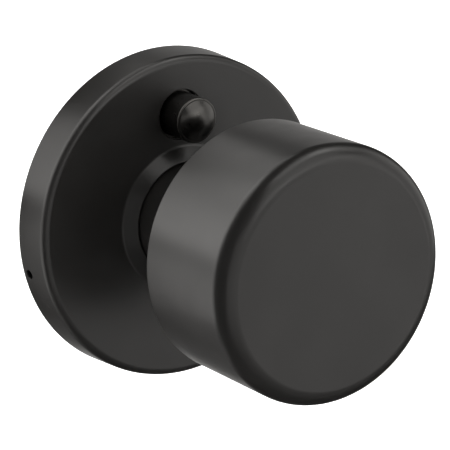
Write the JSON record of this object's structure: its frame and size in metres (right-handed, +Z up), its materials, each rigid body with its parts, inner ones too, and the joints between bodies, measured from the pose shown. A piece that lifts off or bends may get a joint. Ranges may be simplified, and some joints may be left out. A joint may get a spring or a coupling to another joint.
{
  "type": "privacy door knob, inside half",
  "caption": "Round black door knob on a flat round rosette, with a push-button privacy pin above the knob, a return spring and a square spindle.",
  "frame": {"origin": "on the knob's turning axis, in the plane of the door's face", "axes": "+Y into the door along the turning axis, -Y towards the person, +Z up, towards the privacy button"},
  "size_m": [0.07, 0.1002, 0.07],
  "materials": {
    "black_finish": "satin black",
    "black_nickel": "smooth black plate",
    "plated_steel": "zinc plated",
    "black_oxide": "black oxide",
    "spring_steel": "drawn spring wire",
    "bearing_brass": "machined"
  },
  "bodies": {
    "trim": {"rosette": "black_finish", "mounting_plate": "plated_steel", "rosette_set_screw": "black_oxide", "bearing_bushing": "bearing_brass", "spring_cage": "plated_steel", "cage_screws": "plated_steel", "return_spring": "spring_steel", "detent_spring": "spring_steel", "detent_screw": "plated_steel", "privacy_spring": "spring_steel"},
    "knob": {"knob_shell": "black_finish", "knob_back": "black_finish", "knob_shank": "black_finish", "knob_rivets": "plated_steel", "knob_set_screw": "black_oxide", "spindle_hub": "plated_steel", "thrust_washer": "bearing_brass", "return_cam": "plated_steel", "hub_circlip": "spring_steel", "spindle": "plated_steel", "spindle_pin": "spring_steel"},
    "privacy": {"privacy_button": "black_nickel", "privacy_rod": "plated_steel"}
  },
  "joints": [
    {"name": "knob_turn", "type": "hinge", "parent": "trim", "child": "knob", "pos_m": [0, 0, 0], "axis": [0, 1, 0], "range_deg": [-60, 60], "stiffness_Nm_per_rad": 0.35, "deforming": ["return_spring"]},
    {"name": "privacy_push", "type": "slide", "parent": "trim", "child": "privacy", "axis": [0, 1, 0], "range_m": [0, 0.0045], "stiffness_N_per_m": 450, "springref_m": -0.003, "deforming": ["privacy_spring", "detent_spring"]}
  ]
}
